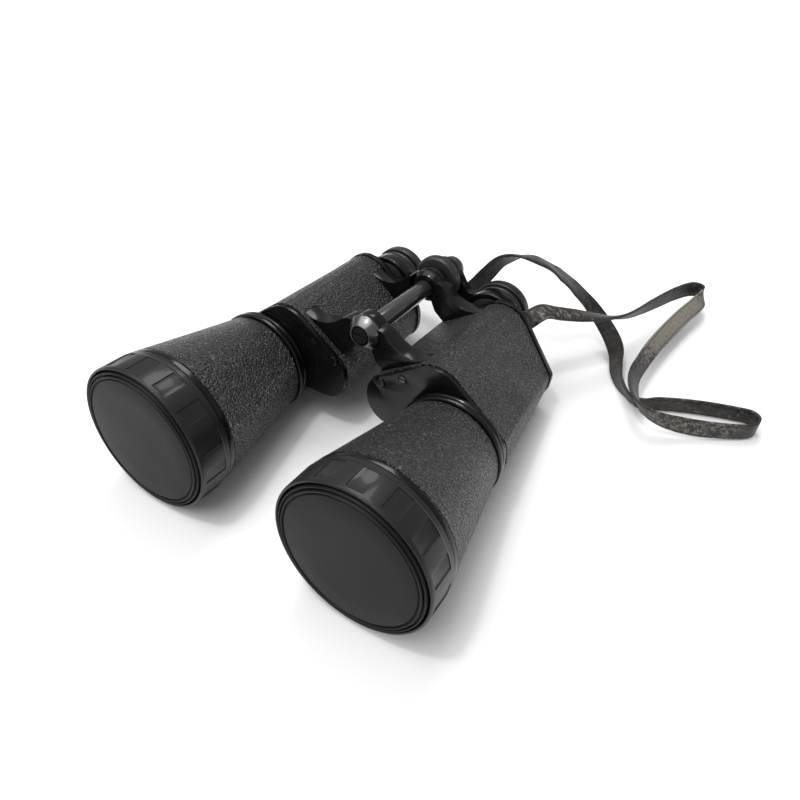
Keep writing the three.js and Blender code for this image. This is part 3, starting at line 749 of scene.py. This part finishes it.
# ---- the strap ---------------------------------------------------------------------------------------
# The middle of the strap at rest, in metres, its lean in degrees (0 and 180 stand on edge) and how worn
# its finish is there, from the right lug round the eyepieces and the long loop to the left lug.
STRAP_ROUTE = (
    (-0.0476, 0.0707, 0.0399, 0, 0.05), (-0.0516, 0.0708, 0.0396, 0, 0.05), (-0.057, 0.074, 0.0374, 0, 0.05),
    (-0.061, 0.081, 0.033, 0, 0.05), (-0.061, 0.09, 0.0275, 0, 0.05), (-0.054, 0.098, 0.0225, 0, 0.05),
    (-0.04, 0.102, 0.018, 0, 0.05), (-0.018, 0.101, 0.017, 0, 0.05), (-0.001, 0.097, 0.023, 0, 0.05),
    (0.01, 0.096, 0.035, 20, 0.05), (0.017, 0.096, 0.046, 28, 0.05), (0.024, 0.0965, 0.056, 41, 0.05),
    (0.034, 0.0965, 0.0625, 58, 0.12), (0.044, 0.1, 0.061, 84, 0.12), (0.0525, 0.111, 0.05, 112, 0.05),
    (0.06, 0.121, 0.0375, 122, 0.05), (0.0685, 0.127, 0.026, 118, 0.12), (0.077, 0.1275, 0.0175, 112, 0.12),
    (0.085, 0.124, 0.0115, 114, 0.12), (0.091, 0.117, 0.008, 135, 0.12), (0.095, 0.1065, 0.006, 148, 0.05),
    (0.1, 0.0975, 0.0053, 178, 0.05), (0.1055, 0.0915, 0.0052, 200, 0.05),
    (0.1105, 0.0875, 0.0052, 208, 0.05), (0.1155, 0.087, 0.0052, 195, 0.05),
    (0.122, 0.091, 0.0052, 182, 0.25), (0.133, 0.0965, 0.0052, 180, 0.25),
    (0.1455, 0.1015, 0.0052, 180, 0.25), (0.1585, 0.1055, 0.0052, 180, 0.25),
    (0.166, 0.107, 0.0052, 180, 0.25), (0.1695, 0.105, 0.0052, 180, 0.25), (0.17, 0.1015, 0.0052, 180, 0.05),
    (0.168, 0.097, 0.0052, 180, 0.05), (0.158, 0.0905, 0.0053, 187, 0.42), (0.146, 0.084, 0.0062, 194, 0.42),
    (0.1365, 0.0795, 0.0078, 188, 0.42), (0.129, 0.076, 0.01, 174, 0.42), (0.122, 0.074, 0.0126, 156, 0.42),
    (0.1165, 0.0745, 0.0146, 151, 0.15), (0.1125, 0.0785, 0.0154, 143, 0.15),
    (0.109, 0.086, 0.0154, 140, 0.15), (0.107, 0.0955, 0.0146, 139, 0.15), (0.107, 0.109, 0.0132, 138, 0.35),
    (0.108, 0.1265, 0.0118, 127, 0.62), (0.111, 0.149, 0.0108, 113, 0.78), (0.1145, 0.168, 0.0106, 110, 0.84),
    (0.1185, 0.184, 0.011, 122, 0.78), (0.1195, 0.1915, 0.0115, 152, 0.5), (0.1175, 0.196, 0.0128, 174, 0.2),
    (0.1125, 0.194, 0.014, 190, 0.15), (0.105, 0.181, 0.0155, 184, 0.15), (0.1, 0.1665, 0.0175, 179, 0.15),
    (0.0955, 0.1515, 0.02, 169, 0.15), (0.091, 0.1355, 0.0235, 152, 0.15), (0.086, 0.1215, 0.028, 128, 0.1),
    (0.079, 0.11, 0.0325, 102, 0.2), (0.071, 0.099, 0.037, 84, 0.3), (0.0625, 0.0895, 0.041, 77, 0.36),
    (0.0568, 0.082, 0.0446, 72, 0.38), (0.0534, 0.0768, 0.0432, 56, 0.3), (0.051, 0.0722, 0.041, 12, 0.05),
    (0.0476, 0.0707, 0.0399, 0, 0.05),
)
LEAN, WEAR = 3, 4  # columns of a row


def mixed(first, second, start, end, at):
    """The mix of two points that is all the first at start and all the second at end."""
    return first * ((end - at) / (end - start)) + second * ((at - start) / (end - start))


def centripetal(points, per_span):
    """Points on a centripetal Catmull-Rom curve, each with the route position it stands at."""
    ends = [2 * points[0] - points[1], *points, 2 * points[-1] - points[-2]]
    found = []
    for i in range(len(points) - 1):
        p = ends[i:i + 4]
        t = [0.0]
        for a, b in zip(p, p[1:]):
            t.append(t[-1] + math.sqrt((b - a).length))
        for k in range(per_span if i < len(points) - 2 else per_span + 1):
            at = t[1] + (t[2] - t[1]) * k / per_span
            first = [mixed(p[j], p[j + 1], t[j], t[j + 1], at) for j in range(3)]
            second = [mixed(first[j], first[j + 1], t[j], t[j + 2], at) for j in range(2)]
            found.append((mixed(*second, t[1], t[2], at), i + k / per_span))
    return found


def strap_frames():
    """(point, route position, across, through), 12 of them from each row of the route to the next."""
    samples = centripetal([Vector(row[:3]) for row in STRAP_ROUTE], per_span=12)
    frames = []
    for n, (point, at) in enumerate(samples):
        ahead = samples[min(n + 1, len(samples) - 1)][0]
        behind = samples[max(n - 1, 0)][0]
        tangent = (ahead - behind).normalized()
        side = tangent.cross(Vector((0, 0, 1))).normalized()
        upright = side.cross(tangent)
        lean = math.radians(along_route(at, LEAN))
        across = upright * math.cos(lean) + side * math.sin(lean)
        frames.append((point, at, across, tangent.cross(across)))
    return frames


def along_route(at, column):
    """A column's value at a route position, in a straight line from row to row."""
    i = min(int(at), len(STRAP_ROUTE) - 2)
    return STRAP_ROUTE[i][column] + (STRAP_ROUTE[i + 1][column] - STRAP_ROUTE[i][column]) * (at - i)


def strap_section(settings):
    """The strap's outline: (across, through, line), with a creased line inside each edge."""
    w, t, m = settings.width / 2, settings.thickness / 2, settings.margin
    half = [
        (-w, 0, 0), (-w + 0.12 * MM, 0.6 * t, 0), (-w + 0.4 * MM, 0.95 * t, 0), (-w + m - 0.35 * MM, t, 0),
        (-w + m, 0.8 * t, 1), (-w + m + 0.35 * MM, t, 0), (-w / 3, t, 0),
    ]
    top = half + [(-u, v, k) for u, v, k in reversed(half)]
    return top + [(u, -v, k) for u, v, k in reversed(top[1:-1])]


class BINO_OT_strap(BinoOperator, bpy.types.Operator):
    """The leather neck strap with a crease inside each edge and cracked patches"""

    bl_idname = "bino.strap"
    bl_label = "Neck strap"

    def execute(self, context):
        settings = context.scene.bino_strap
        frames = strap_frames()
        section = strap_section(settings)
        n = len(section)
        points, wear, line = [], [], []
        for point, at, across, through in frames:
            for u, v, k in section:
                points.append(point + across * u + through * v)
                wear.append(along_route(at, WEAR))
                line.append(k)
        last = (len(frames) - 1) * n
        faces = [
            [s + i, s + (i + 1) % n, s + n + (i + 1) % n, s + n + i]
            for s in range(0, last, n) for i in range(n)
        ]
        faces += [list(range(n))[::-1], list(range(last, last + n))]
        mesh = bpy.data.meshes.new("neck_strap")
        mesh.from_pydata(points, [], faces)
        for name, values in (("wear", wear), ("line", line)):
            mesh.attributes.new(name, "FLOAT", "POINT").data.foreach_set("value", values)
        strap = bpy.data.objects.new("neck_strap", mesh)
        context.scene.collection.objects.link(strap)
        pick(strap)
        bpy.ops.object.mode_set(mode="EDIT")
        bpy.ops.mesh.select_all(action="SELECT")
        bpy.ops.mesh.normals_make_consistent(inside=False)
        bpy.ops.object.mode_set(mode="OBJECT")
        crisp = math.radians(50)
        bpy.ops.object.shade_smooth_by_angle(angle=crisp)
        dress(strap, "strap")
        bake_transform(strap)
        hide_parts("strap")
        centre = [point for point, *_ in frames]
        length = sum((b - a).length for a, b in zip(centre, centre[1:]))
        return {"FINISHED"}


# ---- the stage ---------------------------------------------------------------------------------------
def held(name, data):
    """Puts a light or a camera in the scene."""
    holder = bpy.data.objects.new(name, data)
    bpy.context.scene.collection.objects.link(holder)
    return holder


def lamp(name, place, target, shape, size, power):
    light = bpy.data.lights.new(name, "AREA")
    light.shape = shape
    light.size = size
    light.energy = power
    holder = held(name, light)
    holder.location = place
    holder.rotation_euler = (Vector(target) - Vector(place)).to_track_quat("-Z", "Y").to_euler()


class BINO_OT_stage(BinoOperator, bpy.types.Operator):
    """Pale floor, soft studio light and the camera"""

    bl_idname = "bino.stage"
    bl_label = "Stage"

    def execute(self, context):
        scene = context.scene
        deselect()
        below = -0.2 * MM  # clear of the object's feet
        bpy.ops.mesh.primitive_plane_add(size=12, location=(0, 0, below))
        floor = context.object
        floor.name = "floor"
        finish = Finish("pale_floor", roughness=0.6, specular_ior_level=0.2)
        patch = 0.4
        tone = finish.noise(patch, 2)
        finish.set(base_color=finish.blend(tone, (0.9, 0.9, 0.9, 1), (0.93, 0.93, 0.93, 1)))
        floor.data.materials.append(finish.material)

        world = bpy.data.worlds.new("studio")
        world.use_nodes = True
        background = world.node_tree.nodes["Background"].inputs
        background["Color"].default_value = (1, 1, 1, 1)
        background["Strength"].default_value = 0.38
        scene.world = world

        sun = bpy.data.lights.new("overhead", "SUN")
        sun.angle = math.radians(70)
        sun.energy = 2.0
        held("overhead", sun).rotation_euler = (math.radians(14), math.radians(-16), 0)
        lamp("key", (-0.25, 0.55, 0.95), (0, 0, 0.03), "SQUARE", size=0.5, power=5)
        lamp("glint", (-0.12, -0.2, 0.9), (0, 0, 0.05), "DISK", size=0.09, power=1.6)

        # The camera's place and bearing on the bench, carried over with the model.
        place = Vector((142.5, -123.1, 196.2)) * MM
        bearing = math.radians(28.53)
        drop = math.radians(35)
        roll = math.radians(5.16)
        away = math.cos(drop)
        back = Vector((math.sin(bearing) * away, -math.cos(bearing) * away, math.sin(drop)))
        level = Vector((math.cos(bearing), math.sin(bearing), 0))
        rise = back.cross(level)
        right = level * math.cos(roll) + rise * math.sin(roll)
        up = back.cross(right)
        camera = bpy.data.cameras.new("camera")
        camera.sensor_width = 36
        camera.lens = 29.54
        camera.shift_x = -0.022
        camera.shift_y = -0.0486
        camera.clip_start = 0.01
        holder = held("camera", camera)
        pose = Matrix((right, up, back)).transposed().to_4x4()
        pose.translation = place
        holder.matrix_world = BENCH @ pose
        scene.camera = holder
        scene.view_settings.view_transform = "Standard"
        return {"FINISHED"}


OPERATORS = (
    BINO_OT_stage, BINO_OT_strap, BINO_OT_caps, BINO_OT_rings, BINO_OT_barrels, BINO_OT_housings,
    BINO_OT_hinge, BINO_OT_focus, BINO_OT_oculars, BINO_OT_optics,
)


class BINO_PT_panel(bpy.types.Panel):
    bl_label = "Binoculars"
    bl_idname = "BINO_PT_panel"
    bl_space_type = "VIEW_3D"
    bl_region_type = "UI"
    bl_category = "Binoculars"

    def draw(self, context):
        for settings in (context.scene.bino_barrel, context.scene.bino_focus, context.scene.bino_strap,
                         context.scene.bino_finish):
            box = self.layout.box()
            for name in settings.__annotations__:
                box.prop(settings, name)
        for operator in OPERATORS:
            self.layout.operator(operator.bl_idname)


CLASSES = (BarrelSettings, FocusSettings, StrapSettings, FinishSettings, *OPERATORS, BINO_PT_panel)
POINTERS = {
    "bino_barrel": BarrelSettings, "bino_focus": FocusSettings, "bino_strap": StrapSettings,
    "bino_finish": FinishSettings,
}


def register():
    for cls in CLASSES:
        bpy.utils.register_class(cls)
    for name, cls in POINTERS.items():
        setattr(bpy.types.Scene, name, PointerProperty(type=cls))


def unregister():
    for name in POINTERS:
        delattr(bpy.types.Scene, name)
    for cls in reversed(CLASSES):
        bpy.utils.unregister_class(cls)


def main():
    register()
    for operator in OPERATORS:
        group, name = operator.bl_idname.split(".")
        getattr(getattr(bpy.ops, group), name)()
    deselect()


if __name__ == "__main__":
    main()
